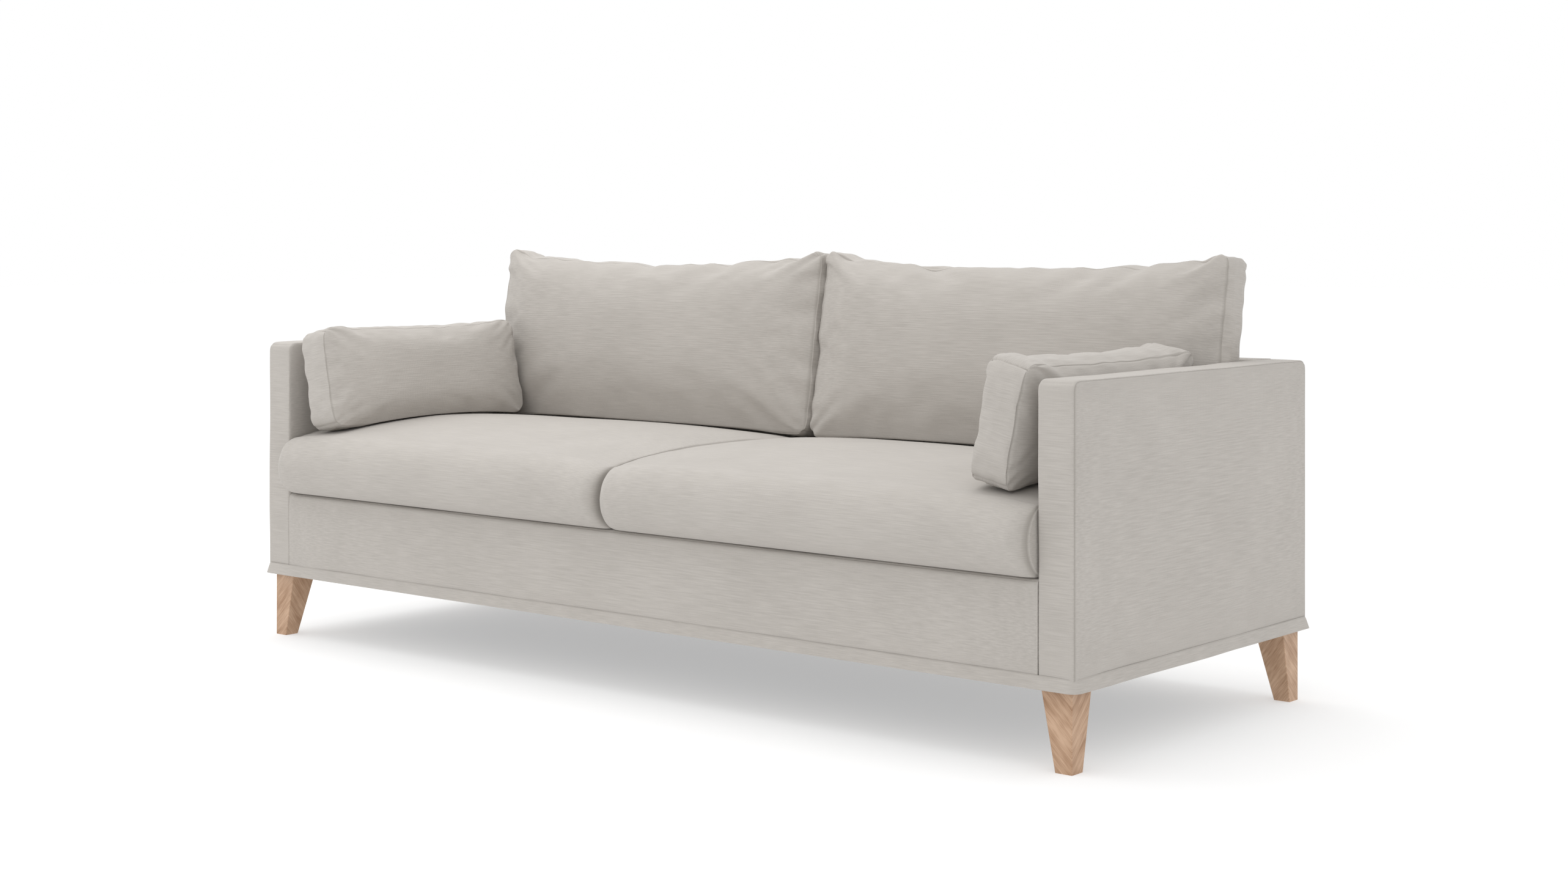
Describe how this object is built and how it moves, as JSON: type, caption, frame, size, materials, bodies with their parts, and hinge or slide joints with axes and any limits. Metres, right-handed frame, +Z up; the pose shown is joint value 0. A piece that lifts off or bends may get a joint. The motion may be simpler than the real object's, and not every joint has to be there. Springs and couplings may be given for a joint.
{
  "type": "sofa with wooden legs",
  "caption": "Long low sofa with a fitted grey-beige linen-look cover, loose seat, back and arm cushions, and square tapered wooden legs.",
  "frame": {"origin": "on the floor, under the centre of the whole sofa's box", "axes": "+X is towards the sitter's left, which is the right-hand side seen from the front; the front faces -Y; +Z is up"},
  "size_m": [2.066, 0.8569, 0.8241],
  "materials": {
    "fabric": "matte",
    "timber": "matte",
    "hardboard": "matte",
    "oak": "satin",
    "foam": "matte",
    "steel": "satin",
    "black_cloth": "matte",
    "felt": "matte",
    "webbing": "matte",
    "tape": "matte",
    "zip": "satin",
    "wadding": "matte",
    "fibre": "matte"
  },
  "bodies": {
    "root": {"arm_posts_right": "timber", "arm_rails_right": "timber", "arm_panels_right": "hardboard", "arm_padding_right": "foam", "cover_arm_right": "fabric", "leg_front_right": "oak", "leg_back_right": "oak", "arm_posts_left": "timber", "arm_rails_left": "timber", "arm_panels_left": "hardboard", "arm_padding_left": "foam", "cover_arm_left": "fabric", "leg_front_left": "oak", "leg_back_left": "oak", "leg_bolts": "steel", "leg_nuts": "steel", "frame_bolts": "steel", "frame_nuts": "steel", "front_rail": "timber", "back_rail": "timber", "side_rails": "timber", "centre_rail": "timber", "corner_blocks": "timber", "seat_springs": "steel", "spring_clips": "steel", "deck_felt": "felt", "front_padding": "foam", "cover_front": "fabric", "cover_deck": "fabric", "dust_cover": "black_cloth", "back_posts": "timber", "back_bottom_rail": "timber", "back_top_rail": "timber", "back_webbing": "webbing", "back_panel": "hardboard", "back_padding": "foam", "cover_back": "fabric", "hem": "fabric", "cover_flaps": "fabric", "hook_and_loop": "tape"},
    "seat_cushion_right": {"seat_cover_right": "fabric", "seat_wadding_right": "wadding", "seat_foam_right": "foam", "seat_zip_right": "zip"},
    "back_cushion_right": {"back_cushion_cover_right": "fabric", "back_cushion_filling_right": "fibre", "back_cushion_zip_right": "zip"},
    "arm_pillow_right": {"arm_pillow_cover_right": "fabric", "arm_pillow_filling_right": "fibre", "arm_pillow_zip_right": "zip"},
    "seat_cushion_left": {"seat_cover_left": "fabric", "seat_wadding_left": "wadding", "seat_foam_left": "foam", "seat_zip_left": "zip"},
    "back_cushion_left": {"back_cushion_cover_left": "fabric", "back_cushion_filling_left": "fibre", "back_cushion_zip_left": "zip"},
    "arm_pillow_left": {"arm_pillow_cover_left": "fabric", "arm_pillow_filling_left": "fibre", "arm_pillow_zip_left": "zip"}
  },
  "joints": [
    {"name": "seat_cushion_right_out", "type": "slide", "parent": "root", "child": "seat_cushion_right", "axis": [0, -1, 0], "range_m": [0, 0.8]},
    {"name": "back_cushion_right_lift", "type": "slide", "parent": "root", "child": "back_cushion_right", "axis": [0, 0, 1], "range_m": [0, 0.5]},
    {"name": "arm_pillow_right_lift", "type": "slide", "parent": "root", "child": "arm_pillow_right", "axis": [0, 0, 1], "range_m": [0, 0.45]},
    {"name": "seat_cushion_left_out", "type": "slide", "parent": "root", "child": "seat_cushion_left", "axis": [0, -1, 0], "range_m": [0, 0.8]},
    {"name": "back_cushion_left_lift", "type": "slide", "parent": "root", "child": "back_cushion_left", "axis": [0, 0, 1], "range_m": [0, 0.5]},
    {"name": "arm_pillow_left_lift", "type": "slide", "parent": "root", "child": "arm_pillow_left", "axis": [0, 0, 1], "range_m": [0, 0.45]}
  ]
}
